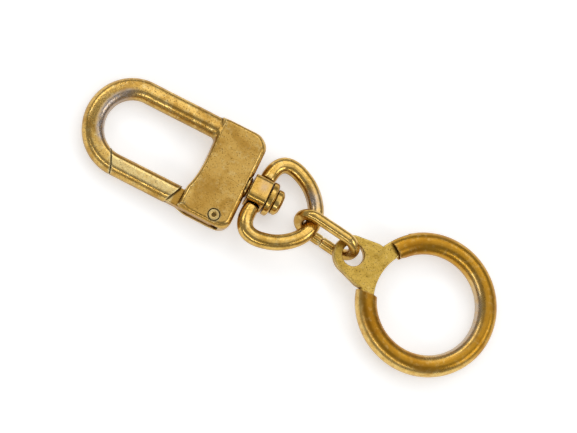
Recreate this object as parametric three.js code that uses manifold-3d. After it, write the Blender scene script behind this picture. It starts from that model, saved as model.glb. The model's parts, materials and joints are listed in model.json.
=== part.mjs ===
// A carabiner keyring: a sprung hook, a swivel with a wire loop, one link, and a ring that slides open on a plate.
// Millimetres, +Z up. The hook's axis runs along +X towards the key ring, and everything lies on a flat surface.

import * as THREE from 'three';
import { mergeVertices } from 'three/addons/utils/BufferGeometryUtils.js';
import Module from 'manifold-3d';

const wasm = await Module();
wasm.setup();

const rad = THREE.MathUtils.degToRad;

// ---- Driving dimensions ----

// Hook, in its own frame: x from the bow's outer end along the swivel axis, y across, z from the middle plane.
const BAR_DIAMETER = 4.85;
const BAR_HEIGHT = 4.5; // across the two flats of the bar
const BOW_HALF_WIDTH = 8.75; // bar's centre line to the hook's axis
const BOW_REACH = 8.2; // the bow is half an ellipse this deep
const BLOCK_HEIGHT = 5.4;
const BLOCK_LEFT = 27.5;
const BLOCK_RIGHT = 38.45;
const BLOCK_TOP = 11.15;
const BLOCK_BOTTOM = -11.25;
const BLOCK_EDGE = 1; // rounding of the block's long edges
const SEAM = { x: 9.5, slant: rad(24), gap: 0.15 }; // where the gate meets the bow
const SHOULDER = { x: 24.75, slant: rad(-25) }; // where the gate's bar steps down to its tongue
const GATE_PIN = { x: 34.3, y: -9.35 };
const TONGUE_HEIGHT = 2.1;
const TONGUE_TOP = -6.9;
const TONGUE_BOTTOM = -10.9;
const SLOT_HEIGHT = 2.6;
const POCKET = { x: 30.2, roof: 0.5, radius: 1.25 };
const FIT_GAP = 0.15; // between pieces that touch on the real object

// Swivel
const STUD_RADIUS = 1.5;
const SPACER = { from: 37.9, to: 38.7, radius: 2.65 };
const COLLAR = { from: 38.85, to: 43.05, side: 6.35, corner: 1.1 };
const WASHER = { from: 43.2, to: 44.65, radius: 3.8 };
const HEAD = { from: 44.75, to: 46.55, radius: 2.8 };
const COLLAR_ROLL = rad(-10);

// Wire loop: x away from the swivel, y along the pivot
const LOOP_PIVOT_X = 41.2;
const LOOP_WIRE = 3.45;
const LOOP_HALF = [
  [0, 3.6], [0, 5.4], [0.35, 7.2], [1.5, 8.9], [3.5, 9.4], [6.1, 8.8], [8.6, 7.55], [10.9, 5.5], [12.6, 2.9],
];
const LOOP_REACH = 13.2;
const SPIGOT = { radius: 1.2, from: 2.0 };
const LOOP_SKEW = rad(-4.8);
const LOOP_PITCH = rad(0.9);

// Connecting link: an oval of round wire with a butt seam
const LINK_WIRE = 2.35;
const LINK_RADIUS = 3.225;
const LINK_STRAIGHT = 7.15;
const LINK_SEAM = 0.2;
const LINK_LEAN = rad(20);
const LINK_TURN = rad(-6.5);

// Plate and ring: x from the plate's eye to the ring's centre
const RING_RADIUS = 13.3;
const TUBE_DIAMETER = 4.76;
const TUBE_BORE = 3.96;
const EYE_TO_RING = 19.08;
const EYE_RADIUS = 4.35;
const EYE_HOLE_RADIUS = 2.4;
const PLATE_HEIGHT = 1.8;
const ARM_HALF_WIDTH = 1.55;
const NECK = { reach: 2.15, from: rad(151.3), to: rad(160) }; // outer side of the long arm's root
const LONG_ARM_END = rad(75);
const SHORT_ARM_END = rad(209);
const TUBE_END = { long: rad(152.5), short: rad(203.8), slant: rad(-14) };
const RING_TRAVEL = rad(15);
const TUBE_SLIT_HEIGHT = 2.1;
const STOP = { from: rad(8), to: rad(19) };
const FOB_TURN = rad(-5.75);
const FOB_PITCH = rad(2.6);

// Places of the groups above the surface
const HOOK_HEIGHT = 2.21;
const HOOK_TILT = rad(2.13);
const LINK_PLACE = new THREE.Vector3(54.38, -0.85, 4.21);
const EYE_PLACE = new THREE.Vector3(64.9, -2.6, 3.85);

// ---- Helpers ----

/** A flat path, lifted into the XY plane of space. */
class FlatCurve extends THREE.Curve {
  constructor(path) {
    super();
    this.path = path;
  }

  getPoint(t, target = new THREE.Vector3()) {
    const { x, y } = this.path.getPoint(t);
    return target.set(x, y, 0);
  }
}

/** A coil wound round an arc of the ring's centre line. */
class RingCoil extends THREE.Curve {
  constructor(radius, from, to, turns) {
    super();
    Object.assign(this, { radius, from, to, turns });
  }

  getPoint(t, target = new THREE.Vector3()) {
    const along = THREE.MathUtils.lerp(this.from, this.to, t);
    const round = 2 * Math.PI * this.turns * t;
    const reach = RING_RADIUS + this.radius * Math.cos(round);
    return target.set(reach * Math.cos(along), reach * Math.sin(along), this.radius * Math.sin(round));
  }
}

/** A coil wound round a straight line along y. */
class StraightCoil extends THREE.Curve {
  constructor(radius, from, to, turns) {
    super();
    Object.assign(this, { radius, from, to, turns });
  }

  getPoint(t, target = new THREE.Vector3()) {
    const round = 2 * Math.PI * this.turns * t;
    const along = THREE.MathUtils.lerp(this.from, this.to, t);
    return target.set(this.radius * Math.cos(round), along, this.radius * Math.sin(round));
  }
}

function toSolid(geometry) {
  const bare = geometry.clone();
  bare.deleteAttribute('normal');
  bare.deleteAttribute('uv');
  const merged = mergeVertices(bare, 1e-4);
  return new wasm.Manifold(new wasm.Mesh({
    numProp: 3,
    vertProperties: new Float32Array(merged.attributes.position.array),
    triVerts: new Uint32Array(merged.index.array),
  }));
}

function toGeometry(solid) {
  const { vertProperties, triVerts } = solid.getMesh();
  const geometry = new THREE.BufferGeometry();
  geometry.setAttribute('position', new THREE.BufferAttribute(vertProperties, 3));
  geometry.setIndex(new THREE.BufferAttribute(triVerts, 1));
  geometry.computeVertexNormals();
  return geometry;
}

function join(geometries) {
  return toGeometry(geometries.map(toSolid).reduce((whole, piece) => whole.add(piece)));
}

function cut(geometry, tools) {
  return toGeometry(tools.map(toSolid).reduce((whole, tool) => whole.subtract(tool), toSolid(geometry)));
}

function common(geometry, other) {
  return toGeometry(toSolid(geometry).intersect(toSolid(other)));
}

function piece(name, geometry, { color, roughness = 0.32 }) {
  const mesh = new THREE.Mesh(geometry, new THREE.MeshStandardMaterial({ color, roughness, metalness: 1 }));
  mesh.name = name;
  return mesh;
}

function sweep(section, curve, steps, curveSegments = 6) {
  return new THREE.ExtrudeGeometry(section, { steps, curveSegments, extrudePath: curve });
}

/** A flat outline made into a plate of the given height, centred on z = 0. */
function plate(outline, height, curveSegments = 12) {
  const geometry = new THREE.ExtrudeGeometry(outline, { depth: height, bevelEnabled: false, curveSegments });
  return geometry.translate(0, 0, -height / 2);
}

function circle(radius) {
  return new THREE.Shape().absarc(0, 0, radius, 0, 2 * Math.PI);
}

function cylinderAlongX(radius, from, to, sides = 24) {
  return new THREE.CylinderGeometry(radius, radius, to - from, sides)
    .rotateZ(-Math.PI / 2)
    .translate((from + to) / 2, 0, 0);
}

/** A turned piece: profile points are [distance along the axis, radius], and the axis becomes +X. */
function turnedAlongX(profile, segments = 28) {
  const points = profile.map(([along, radius]) => new THREE.Vector2(radius, along));
  return new THREE.LatheGeometry(points, segments).rotateZ(-Math.PI / 2);
}

/** A block that fills the side of a slanted line that its normal points to. */
function sideOfLine(x, y, angle) {
  const reach = 24;
  return new THREE.BoxGeometry(reach, reach / 2, reach)
    .translate(reach / 2, 0, 0)
    .rotateZ(angle)
    .translate(x, y, 0);
}

// ---- Hook ----

/** Round bar with flats above and below. In a sweep, x is the height and y the width. */
function barSection() {
  const radius = BAR_DIAMETER / 2;
  const corner = Math.acos(BAR_HEIGHT / 2 / radius);
  return new THREE.Shape()
    .absarc(0, 0, radius, corner, Math.PI - corner)
    .absarc(0, 0, radius, Math.PI + corner, -corner);
}

const BOW_CENTRE = BAR_DIAMETER / 2 + BOW_REACH;

function bow() {
  const path = new THREE.Path();
  path.moveTo(BLOCK_LEFT + 1, BOW_HALF_WIDTH);
  path.lineTo(BOW_CENTRE, BOW_HALF_WIDTH);
  path.absellipse(BOW_CENTRE, 0, BOW_REACH, BOW_HALF_WIDTH, Math.PI / 2, 1.5 * Math.PI, false, 0);
  path.lineTo(BOW_CENTRE + 2, -BOW_HALF_WIDTH);
  const bar = sweep(barSection(), new FlatCurve(path), 40, 4);
  return cut(bar, [sideOfLine(SEAM.x, -BOW_HALF_WIDTH, SEAM.slant)]);
}

function blockOutline() {
  const topCorner = 3.05;
  const bottomCorner = 2.4;
  return new THREE.Shape()
    .moveTo(BLOCK_LEFT - 0.4, BLOCK_TOP)
    .absarc(BLOCK_RIGHT - topCorner, BLOCK_TOP - topCorner, topCorner, Math.PI / 2, 0, true)
    .absarc(BLOCK_RIGHT - bottomCorner, BLOCK_BOTTOM + bottomCorner, bottomCorner, 0, -Math.PI / 2, true)
    .lineTo(BLOCK_LEFT + 1.7, BLOCK_BOTTOM)
    .quadraticCurveTo(BLOCK_LEFT, BLOCK_BOTTOM, BLOCK_LEFT - 1.2, BLOCK_BOTTOM + 0.5)
    .lineTo(BLOCK_LEFT - 1.2, -6.8)
    .quadraticCurveTo(BLOCK_LEFT + 0.3, -3, BLOCK_LEFT + 0.15, 2.5)
    .quadraticCurveTo(BLOCK_LEFT + 0.1, 6, BLOCK_LEFT - 0.4, BLOCK_TOP);
}

/** The block seen from the side, with its rounded end towards the swivel, as a prism across the hook. */
function blockSideView() {
  const half = BLOCK_HEIGHT / 2;
  const outline = new THREE.Shape()
    .moveTo(BLOCK_LEFT - 5, -half)
    .lineTo(BLOCK_RIGHT - 1.4, -half)
    .quadraticCurveTo(BLOCK_RIGHT, -half, BLOCK_RIGHT, -half + 1.8)
    .lineTo(BLOCK_RIGHT, half - 1.8)
    .quadraticCurveTo(BLOCK_RIGHT, half, BLOCK_RIGHT - 1.4, half)
    .lineTo(BLOCK_LEFT - 5, half);
  return plate(outline, 30, 5).rotateX(Math.PI / 2);
}

/** The block seen from the swivel, with its rounded long edges, as a prism along the hook. */
function blockEndView() {
  const half = BLOCK_HEIGHT / 2;
  const low = BLOCK_BOTTOM;
  const high = BLOCK_TOP;
  const edge = BLOCK_EDGE;
  const outline = new THREE.Shape()
    .moveTo(low + edge, -half)
    .lineTo(high - edge, -half)
    .quadraticCurveTo(high, -half, high, -half + edge)
    .lineTo(high, half - edge)
    .quadraticCurveTo(high, half, high - edge, half)
    .lineTo(low + edge, half)
    .quadraticCurveTo(low, half, low, half - edge)
    .lineTo(low, -half + edge)
    .quadraticCurveTo(low, -half, low + edge, -half);
  return plate(outline, 100, 4).rotateX(Math.PI / 2).rotateZ(Math.PI / 2);
}

/** Room for the gate's tongue between the block's two cheeks, open towards the bow and at the lower side. */
function slot() {
  const outline = new THREE.Shape()
    .moveTo(22, -1.6)
    .lineTo(27.2, -3.1)
    .lineTo(33.9, -6.1)
    .lineTo(34.9, -6.5)
    .lineTo(36.35, -7.7)
    .lineTo(36.35, -14)
    .lineTo(22, -14);
  return plate(outline, SLOT_HEIGHT);
}

function block() {
  return common(common(plate(blockOutline(), BLOCK_HEIGHT, 8), blockSideView()), blockEndView());
}

function pinHole() {
  const bore = new THREE.CylinderGeometry(1.0, 1.0, 12, 20);
  const sinkDepth = 0.87;
  const sinks = [1, -1].map((side) => new THREE.CylinderGeometry(1.35, 1.35, sinkDepth, 20)
    .translate(0, side * (BLOCK_HEIGHT / 2), 0));
  return [bore, ...sinks].map((tool) => tool.rotateX(Math.PI / 2).translate(GATE_PIN.x, GATE_PIN.y, 0));
}

function springPocket() {
  const depth = POCKET.roof + 6;
  return new THREE.CylinderGeometry(POCKET.radius, POCKET.radius, depth, 20)
    .translate(POCKET.x, POCKET.roof - depth / 2, 0);
}

function hookBody() {
  const studBore = cylinderAlongX(STUD_RADIUS + FIT_GAP, 32.4, 45);
  const spacerSeat = cylinderAlongX(SPACER.radius + FIT_GAP, SPACER.from - FIT_GAP, 45, 28);
  const drillMark = cylinderAlongX(0.45, 36.9, 45, 12).translate(0, -6.2, 0.6);
  const tools = [slot(), springPocket(), studBore, spacerSeat, drillMark, ...pinHole()];
  return cut(join([bow(), block()]), tools);
}

function gate() {
  const path = new THREE.Path();
  path.absellipse(BOW_CENTRE, 0, BOW_REACH, BOW_HALF_WIDTH, rad(235), rad(270), false, 0);
  path.lineTo(BLOCK_LEFT, -BOW_HALF_WIDTH);
  const whole = sweep(barSection(), new FlatCurve(path), 12, 4);
  const fromSeam = common(whole, sideOfLine(SEAM.x + SEAM.gap, -BOW_HALF_WIDTH, SEAM.slant));
  const bar = cut(fromSeam, [sideOfLine(SHOULDER.x, -BOW_HALF_WIDTH, SHOULDER.slant)]);
  const tail = 1.65;
  const tongue = new THREE.Shape()
    .moveTo(20, TONGUE_TOP)
    .lineTo(33, TONGUE_TOP)
    .absarc(GATE_PIN.x, GATE_PIN.y, tail, rad(75), -Math.PI / 2, true)
    .lineTo(20, TONGUE_BOTTOM);
  const bore = new THREE.CylinderGeometry(1.0, 1.0, 12, 20)
    .rotateX(Math.PI / 2)
    .translate(GATE_PIN.x, GATE_PIN.y, 0);
  // the gate's own origin is on its pin
  return cut(join([bar, plate(tongue, TONGUE_HEIGHT)]), [bore]).translate(-GATE_PIN.x, -GATE_PIN.y, 0);
}

/** Rivet with a flush head at each end and a dimple in each head. */
function gatePin() {
  const half = BLOCK_HEIGHT / 2;
  const shank = 0.85;
  const head = 1.2;
  const headHeight = 0.32;
  const points = [
    [0, -half + 0.15], [0.55, -half], [head, -half], [head, -half + headHeight], [shank, -half + headHeight],
    [shank, half - headHeight], [head, half - headHeight], [head, half], [0.55, half], [0, half - 0.15],
  ].map(([radius, height]) => new THREE.Vector2(radius, height));
  return new THREE.LatheGeometry(points, 24).rotateX(Math.PI / 2);
}

function gateSpring() {
  const wire = 0.36;
  const from = TONGUE_TOP + wire / 2 + FIT_GAP;
  const to = POCKET.roof - wire / 2 - FIT_GAP;
  return sweep(circle(wire / 2), new StraightCoil(0.84, from, to, 6), 60, 3);
}

// ---- Swivel ----

function swivelSpacer() {
  const bore = STUD_RADIUS + FIT_GAP;
  const { from, to, radius } = SPACER;
  return turnedAlongX([
    [from, bore], [from, radius], [to - 0.5, radius], [to - 0.12, radius - 0.25], [to, radius - 0.6], [to, bore],
    [from, bore],
  ]);
}

function swivelStud() {
  const { from, to, radius } = HEAD;
  return turnedAlongX([
    [32.6, 0], [32.6, STUD_RADIUS], [from, STUD_RADIUS], [from, radius - 0.1], [from + 0.25, radius],
    [to - 0.75, radius], [to - 0.3, radius - 0.35], [to - 0.05, radius - 1.2], [to, 0],
  ]);
}

function swivelWasher() {
  const bore = STUD_RADIUS + FIT_GAP;
  const { from, to, radius } = WASHER;
  return turnedAlongX([
    [from, bore], [from, radius - 0.2], [from + 0.2, radius], [to - 0.6, radius], [to - 0.15, radius - 0.4],
    [to, radius - 0.9], [to, bore], [from, bore],
  ]);
}

/** Square bar with rounded corners, drilled for the stud, with a hole in each side for the loop's ends. */
function swivelCollar() {
  const { from, to, side, corner } = COLLAR;
  const half = side / 2;
  const outline = new THREE.Shape()
    .moveTo(-half + corner, -half)
    .lineTo(half - corner, -half)
    .quadraticCurveTo(half, -half, half, -half + corner)
    .lineTo(half, half - corner)
    .quadraticCurveTo(half, half, half - corner, half)
    .lineTo(-half + corner, half)
    .quadraticCurveTo(-half, half, -half, half - corner)
    .lineTo(-half, -half + corner)
    .quadraticCurveTo(-half, -half, -half + corner, -half);
  const edge = 0.25;
  const body = new THREE.ExtrudeGeometry(outline, {
    depth: to - from - 2 * edge,
    curveSegments: 5,
    bevelThickness: edge,
    bevelSize: edge,
    bevelOffset: -edge,
    bevelSegments: 1,
  }).rotateY(Math.PI / 2).translate(from + edge - LOOP_PIVOT_X, 0, 0);
  const studBore = cylinderAlongX(STUD_RADIUS + FIT_GAP, -4, 4);
  const sideHole = new THREE.CylinderGeometry(SPIGOT.radius + 2 * FIT_GAP, SPIGOT.radius + 2 * FIT_GAP, 8, 20);
  return cut(body, [studBore, sideHole.rotateZ(LOOP_SKEW)]);
}

/** Bent wire, whose ends are turned down to enter the collar. */
function dLoop() {
  const upper = LOOP_HALF.map(([x, y]) => new THREE.Vector3(x, y, 0));
  const lower = LOOP_HALF.map(([x, y]) => new THREE.Vector3(x, -y, 0)).reverse();
  const tip = new THREE.Vector3(LOOP_REACH, 0, 0);
  const centreLine = new THREE.CatmullRomCurve3([...upper, tip, ...lower], false, 'centripetal');
  const wire = sweep(circle(LOOP_WIRE / 2), centreLine, 44, 8);
  const spigots = [1, -1].map((side) => {
    const length = LOOP_HALF[0][1] + 0.6 - SPIGOT.from;
    return new THREE.CylinderGeometry(SPIGOT.radius, SPIGOT.radius, length, 20)
      .translate(0, side * (SPIGOT.from + length / 2), 0);
  });
  return join([wire, ...spigots]);
}

// ---- Link ----

/** Oval of wire, with its origin at the centre of the end that holds the loop. */
function connectorLink() {
  const middle = LINK_STRAIGHT / 2;
  const path = new THREE.Path();
  path.moveTo(middle + LINK_SEAM / 2, -LINK_RADIUS);
  path.lineTo(LINK_STRAIGHT, -LINK_RADIUS);
  path.absarc(LINK_STRAIGHT, 0, LINK_RADIUS, -Math.PI / 2, Math.PI / 2);
  path.lineTo(0, LINK_RADIUS);
  path.absarc(0, 0, LINK_RADIUS, Math.PI / 2, 1.5 * Math.PI);
  path.lineTo(middle - LINK_SEAM / 2, -LINK_RADIUS);
  return sweep(circle(LINK_WIRE / 2), new FlatCurve(path), 44, 7);
}

// ---- Plate and ring ----

/** The plate's outline, with its origin at the eye. Its arms follow the ring's centre line inside the tube. */
function plateOutline() {
  const inner = RING_RADIUS - ARM_HALF_WIDTH;
  const outer = RING_RADIUS + ARM_HALF_WIDTH;
  const eyeTangent = rad(97);
  const outline = new THREE.Shape()
    .absarc(0, 0, EYE_RADIUS, eyeTangent, 2 * Math.PI - eyeTangent)
    .lineTo(3.7, -5.2)
    .absarc(EYE_TO_RING, 0, outer, rad(200.5), SHORT_ARM_END)
    .absarc(EYE_TO_RING, 0, inner, SHORT_ARM_END, LONG_ARM_END, true)
    .absarc(EYE_TO_RING, 0, outer, LONG_ARM_END, NECK.from)
    .absarc(EYE_TO_RING, 0, RING_RADIUS + NECK.reach, NECK.from, NECK.to)
    .lineTo(3.6, 5.35);
  outline.holes.push(new THREE.Path().absarc(0, 0, EYE_HOLE_RADIUS, 0, 2 * Math.PI, true));
  return outline;
}

function fobPlate() {
  return plate(plateOutline(), PLATE_HEIGHT, 8);
}

function ringArc(from, to) {
  return new FlatCurve(new THREE.Path().absarc(0, 0, RING_RADIUS, from, to));
}

/** Hollow tube bent round the ring, slit on its outer side where the plate's shoulder enters as it slides. */
function ringTube() {
  const section = circle(TUBE_DIAMETER / 2);
  section.holes.push(new THREE.Path().absarc(0, 0, TUBE_BORE / 2, 0, 2 * Math.PI, true));
  const start = TUBE_END.short - 2 * Math.PI;
  const tube = sweep(section, ringArc(start - rad(4), TUBE_END.long), 48, 8);
  const endX = RING_RADIUS * Math.cos(TUBE_END.short);
  const endY = RING_RADIUS * Math.sin(TUBE_END.short);
  const beyondShortEnd = new THREE.BoxGeometry(8, 4, 8)
    .translate(0, 2, 0)
    .rotateZ(TUBE_END.short + TUBE_END.slant - Math.PI)
    .translate(endX, endY, 0);
  const slitSector = new THREE.Shape()
    .absarc(0, 0, RING_RADIUS, TUBE_END.long - RING_TRAVEL - rad(2), TUBE_END.long + rad(6))
    .absarc(0, 0, RING_RADIUS + 4, TUBE_END.long + rad(6), TUBE_END.long - RING_TRAVEL - rad(2), true);
  return cut(tube, [beyondShortEnd, plate(slitSector, TUBE_SLIT_HEIGHT)]);
}

function springStop() {
  return sweep(circle(TUBE_BORE / 2 - FIT_GAP), ringArc(STOP.from, STOP.to), 4, 8);
}

function ringSpring() {
  const wire = 0.45;
  const coil = TUBE_BORE / 2 - wire / 2 - FIT_GAP;
  const endGap = (wire / 2 + FIT_GAP) / RING_RADIUS;
  return sweep(circle(wire / 2), new RingCoil(coil, STOP.to + endGap, LONG_ARM_END - endGap, 10), 100, 3);
}

// ---- Assembly ----

const GOLD = { color: 0xb8893a };
const PALE_GOLD = { color: 0xc79f55 };
const STEEL = { color: 0x8d8d88, roughness: 0.4 };

const hook = new THREE.Group();
hook.position.z = HOOK_HEIGHT;
hook.rotation.y = -HOOK_TILT;

const gateMesh = piece('gate', gate(), PALE_GOLD);
const pinMesh = piece('gate_pin', gatePin(), GOLD);
gateMesh.position.set(GATE_PIN.x, GATE_PIN.y, 0);
pinMesh.position.set(GATE_PIN.x, GATE_PIN.y, 0);
const gateSpringMesh = piece('gate_spring', gateSpring(), STEEL);
gateSpringMesh.position.x = POCKET.x;
hook.add(
  piece('hook_body', hookBody(), GOLD),
  gateMesh,
  pinMesh,
  gateSpringMesh,
  piece('swivel_spacer', swivelSpacer(), PALE_GOLD),
  piece('swivel_stud', swivelStud(), GOLD),
  piece('swivel_washer', swivelWasher(), PALE_GOLD),
);

const swivel = new THREE.Group();
swivel.position.x = LOOP_PIVOT_X;
swivel.rotation.x = COLLAR_ROLL;
const loopMesh = piece('d_loop', dLoop(), GOLD);
loopMesh.rotation.set(0, LOOP_PITCH, LOOP_SKEW, 'ZYX');
swivel.add(piece('swivel_collar', swivelCollar(), PALE_GOLD), loopMesh);
hook.add(swivel);

const linkMesh = piece('connector_link', connectorLink(), GOLD);
linkMesh.position.copy(LINK_PLACE);
linkMesh.rotation.set(Math.PI / 2 - LINK_LEAN, 0, LINK_TURN, 'ZYX');

const fob = new THREE.Group();
fob.position.copy(EYE_PLACE);
fob.rotation.set(0, FOB_PITCH, FOB_TURN, 'ZYX');
const ring = new THREE.Group();
ring.position.x = EYE_TO_RING;
ring.add(
  piece('ring_tube', ringTube(), GOLD),
  piece('ring_spring', ringSpring(), STEEL),
  piece('spring_stop', springStop(), STEEL),
);
fob.add(piece('fob_plate', fobPlate(), PALE_GOLD), ring);

const keyring = new THREE.Group();
keyring.add(hook, linkMesh, fob);

// the origin is under the middle of the whole object, on the surface that it lies on
const bounds = new THREE.Box3().setFromObject(keyring, true);
const middle = bounds.getCenter(new THREE.Vector3());
for (const part of keyring.children) {
  part.position.sub(new THREE.Vector3(middle.x, middle.y, bounds.min.z));
}

export default keyring;
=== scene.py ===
"""A worn brass carabiner keyring: fine meshes, materials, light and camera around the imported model.

Lengths are millimetres in each body's own frame, and metres in the scene. Run in Blender 4.5."""

import json
import math

import bpy
import numpy as np
from mathutils import Matrix, Vector
from mathutils.bvhtree import BVHTree


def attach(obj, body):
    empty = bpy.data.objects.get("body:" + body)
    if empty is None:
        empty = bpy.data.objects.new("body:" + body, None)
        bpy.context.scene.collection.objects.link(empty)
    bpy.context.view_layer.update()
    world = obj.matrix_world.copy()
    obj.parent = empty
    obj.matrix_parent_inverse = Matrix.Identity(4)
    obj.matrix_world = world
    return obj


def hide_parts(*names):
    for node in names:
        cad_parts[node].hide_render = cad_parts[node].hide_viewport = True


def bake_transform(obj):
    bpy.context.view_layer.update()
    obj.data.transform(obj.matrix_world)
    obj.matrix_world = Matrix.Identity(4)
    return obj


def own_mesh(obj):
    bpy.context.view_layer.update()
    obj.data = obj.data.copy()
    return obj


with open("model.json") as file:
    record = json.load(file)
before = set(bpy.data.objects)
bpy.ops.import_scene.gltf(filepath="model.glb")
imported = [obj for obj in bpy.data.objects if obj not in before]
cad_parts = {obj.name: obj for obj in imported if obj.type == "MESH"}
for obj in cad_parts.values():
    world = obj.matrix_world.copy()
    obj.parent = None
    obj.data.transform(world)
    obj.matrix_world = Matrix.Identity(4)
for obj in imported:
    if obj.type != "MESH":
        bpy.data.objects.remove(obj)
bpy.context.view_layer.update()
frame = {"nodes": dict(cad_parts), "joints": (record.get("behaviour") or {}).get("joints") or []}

MM = 0.001
rad = math.radians

# ---- Sizes: the CAD source's, but for the link's seam and the collar's and the bar's edges ----

# Hook: a bar bent into a bow, the block that holds the gate and the stud, and the gate
BAR_RADIUS = 2.425
BAR_HEIGHT = 4.5
BAR_EDGE = 0.18
BAR_LEAN = rad(14)  # of the flats on the bar's fixed side
BOW_HALF_WIDTH = 8.75
BOW_REACH = 8.2
BOW_CENTRE = BAR_RADIUS + BOW_REACH
BLOCK = dict(height=5.4, left=27.5, right=38.45, top=11.15, bottom=-11.25)
BLOCK_CORNERS = dict(top=3.05, bottom=2.4)
SEAM = dict(x=9.5, slant=rad(24), gap=0.15)
SHOULDER = dict(x=24.75, slant=rad(-25))
GATE_PIN = (34.3, -9.35)
PIN_HOLE = 1.0
PIN_SINK = dict(radius=1.35, depth=0.435)
TONGUE = dict(height=2.1, top=-6.9, bottom=-10.9, tail=1.65)
SLOT_HEIGHT = 2.6
SLOT_POINTS = [
    (22, -1.6), (27.2, -3.1), (33.9, -6.1), (34.9, -6.5), (36.35, -7.7), (36.35, -14), (22, -14),
]
POCKET = dict(x=30.2, radius=1.25, bottom=-5.5, top=0.5)
GATE_COIL = dict(wire=0.36, radius=0.84, turns=6)

# Swivel: the stud pressed into the block, and the collar with side holes for the loop
STUD_BORE = 1.65
STUD_HOLE_FROM = 32.4
SPACER_SEAT = dict(x=37.75, radius=2.8)
DRILL_MARK = dict(x=36.9, y=-6.2, z=0.6, radius=0.45)  # the small hole in the block's end face
LOOP_PIVOT_X = 41.2
COLLAR = dict(from_x=38.85, to_x=43.05, side=6.35, corner=1.55)
COLLAR_ROLL = rad(-10)

# Loop, and the oval link
LOOP_SKEW = rad(-4.8)
LOOP_PITCH = rad(0.9)
LOOP_WIRE = 3.45
LOOP_HALF = [
    (0, 3.6), (0, 5.4), (0.35, 7.2), (1.5, 8.9), (3.5, 9.4), (6.1, 8.8), (8.6, 7.55), (10.9, 5.5),
    (12.6, 2.9),
]
LOOP_REACH = 13.2
SPIGOT = dict(radius=1.2, start=2.0)
LINK_WIRE = 2.35
LINK_RADIUS = 3.225
LINK_STRAIGHT = 7.15
LINK_SEAM = 0.08
LINK_LEAN = rad(20)
LINK_TURN = rad(-6.5)
# Plate with its two arms, and the tube that slides round them
RING_RADIUS = 13.3
TUBE_RADIUS = 2.38
TUBE_BORE = 1.98
EYE_TO_RING = 19.08
EYE_RADIUS = 4.35
EYE_HOLE_RADIUS = 2.4
PLATE_HEIGHT = 1.8
ARM_HALF_WIDTH = 1.55
NECK = dict(reach=2.15, start=rad(151.3), end=rad(160))
LONG_ARM_END = rad(75)
SHORT_ARM_END = rad(209)
TUBE_END = dict(long=rad(152.5), short=rad(203.8), slant=rad(-14))
RING_TRAVEL = rad(15)
SLIT_HEIGHT = 2.1
SLIT_FROM = TUBE_END["long"] - RING_TRAVEL - rad(2)
STOP = (rad(8), rad(19))
STOP_RADIUS = 1.83
RING_COIL = dict(wire=0.45, turns=10)
COIL_CLEARANCE = 0.15
FOB_TURN = rad(-5.75)
FOB_PITCH = rad(2.6)

# ---- Frames of the bodies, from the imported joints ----

joints = {joint["name"]: joint for joint in frame["joints"]}


def turned(axis, angle):
    return Matrix.Rotation(angle, 4, axis)


def joint_place(name):
    return Matrix.Translation(Vector(joints[name]["pos_m"]))


hook_x = Vector(joints["swivel_turn"]["axis"])
hook_z = -Vector(joints["gate_open"]["axis"])
hook_turn = Matrix((hook_x, hook_z.cross(hook_x), hook_z)).transposed().to_4x4()
SWIVEL = joint_place("swivel_turn") @ hook_turn @ turned("X", COLLAR_ROLL)
HOOK = joint_place("swivel_turn") @ hook_turn @ Matrix.Translation((-LOOP_PIVOT_X * MM, 0, 0))
LOOP = SWIVEL @ turned("Z", LOOP_SKEW) @ turned("Y", LOOP_PITCH)
LINK = joint_place("link_swing") @ turned("Z", LINK_TURN) @ turned("X", math.pi / 2 - LINK_LEAN)
RING = joint_place("ring_open") @ turned("Z", FOB_TURN) @ turned("Y", FOB_PITCH)
FOB = RING @ Matrix.Translation((-EYE_TO_RING * MM, 0, 0))


def local_box(node, place):
    """Lowest and highest corners of a CAD node in a body's own frame, in millimetres."""
    mesh = frame["nodes"][node].data
    points = np.array([v.co for v in mesh.vertices], float)
    back = np.array(place.inverted())
    local = (points @ back[:3, :3].T + back[:3, 3]) / MM
    return local.min(0), local.max(0)


# ---- Fields: negative inside the metal, in millimetres ----

CUT_EDGE = 0.05  # rounding where a cut meets the metal


def overlap(a, b, radius):
    """Both shapes' common part, with the edge between them rounded."""
    corner = np.hypot(np.maximum(a + radius, 0), np.maximum(b + radius, 0))
    return np.minimum(np.maximum(a, b), -radius) + corner


def blend(a, b, radius):
    """The two shapes together, with a fillet between them."""
    return -overlap(-a, -b, radius)


def carve(a, tool, radius):
    return overlap(a, -tool, radius)


def ease(value, low, high):
    t = np.clip((value - low) / (high - low), 0, 1)
    return t * t * (3 - 2 * t)


def arc(x, y, radius, start, end, steps):
    return [
        (x + radius * math.cos(a), y + radius * math.sin(a)) for a in np.linspace(start, end, steps)
    ]


def bend(start, control, end, steps):
    """Points of a quadratic curve, without its first one."""
    p, q, r = (np.array(v, float) for v in (start, control, end))
    return [
        tuple((1 - t) ** 2 * p + 2 * t * (1 - t) * q + t * t * r)
        for t in np.linspace(0, 1, steps + 1)[1:]
    ]


def outline(x, y, points):
    """Distance to a closed polygon in the XY plane."""
    x, y = np.broadcast_arrays(x, y)
    nearest = np.full(x.shape, np.inf)
    inside = np.zeros(x.shape, bool)
    for (ax, ay), (bx, by) in zip(points, points[1:] + points[:1]):
        ex, ey = bx - ax, by - ay
        t = np.clip(((x - ax) * ex + (y - ay) * ey) / (ex * ex + ey * ey), 0, 1)
        nearest = np.minimum(nearest, (x - ax - t * ex) ** 2 + (y - ay - t * ey) ** 2)
        if ay != by:
            crosses = ((ay > y) != (by > y)) & (x < (y - ay) * ex / ey + ax)
            inside ^= crosses
    return np.where(inside, -1, 1) * np.sqrt(nearest)


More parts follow.
